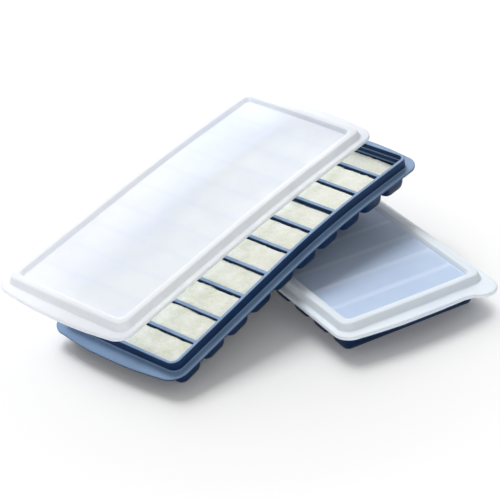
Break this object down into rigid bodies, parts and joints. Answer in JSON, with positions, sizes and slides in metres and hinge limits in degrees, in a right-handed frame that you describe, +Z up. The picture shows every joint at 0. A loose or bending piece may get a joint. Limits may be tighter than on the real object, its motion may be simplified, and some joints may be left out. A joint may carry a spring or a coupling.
{
  "type": "lidded freezer tray set",
  "caption": "Pair of soft silicone freezer trays with long cells in a row and frosted snap lids; the front tray is filled with frozen portions and leans on the back one.",
  "frame": {"origin": "middle of the whole set's outline seen from above, on the table that the back tray stands on", "axes": "+Y runs along the back tray, away from its lid's pull tab; the front tray runs at 17.7 degrees from +X and climbs towards +X; +Z is up"},
  "size_m": [0.2888, 0.2746, 0.0711],
  "materials": {
    "silicone": "satin navy food-grade silicone",
    "lid": "frosted translucent plastic, faintly blue",
    "food": "frozen pale puree, dull and mottled"
  },
  "bodies": {
    "back_tray": {"tray_lower": "silicone"},
    "back_lid": {"lid_lower": "lid"},
    "front_tray": {"tray_upper": "silicone", "portion_01": "food", "portion_02": "food", "portion_03": "food", "portion_04": "food", "portion_05": "food", "portion_06": "food", "portion_07": "food", "portion_08": "food", "portion_09": "food", "portion_10": "food"},
    "front_lid": {"lid_upper": "lid"}
  },
  "joints": [
    {"name": "back_lid_lift", "type": "slide", "parent": "back_tray", "child": "back_lid", "axis": [0, 0, 1], "range_m": [0, 0.03]},
    {"name": "front_tray_lift", "type": "slide", "parent": "back_lid", "child": "front_tray", "axis": [0, 0, 1], "range_m": [0, 0.04]},
    {"name": "front_lid_lift", "type": "slide", "parent": "front_tray", "child": "front_lid", "axis": [0, 0, 1], "range_m": [0, 0.03]}
  ]
}
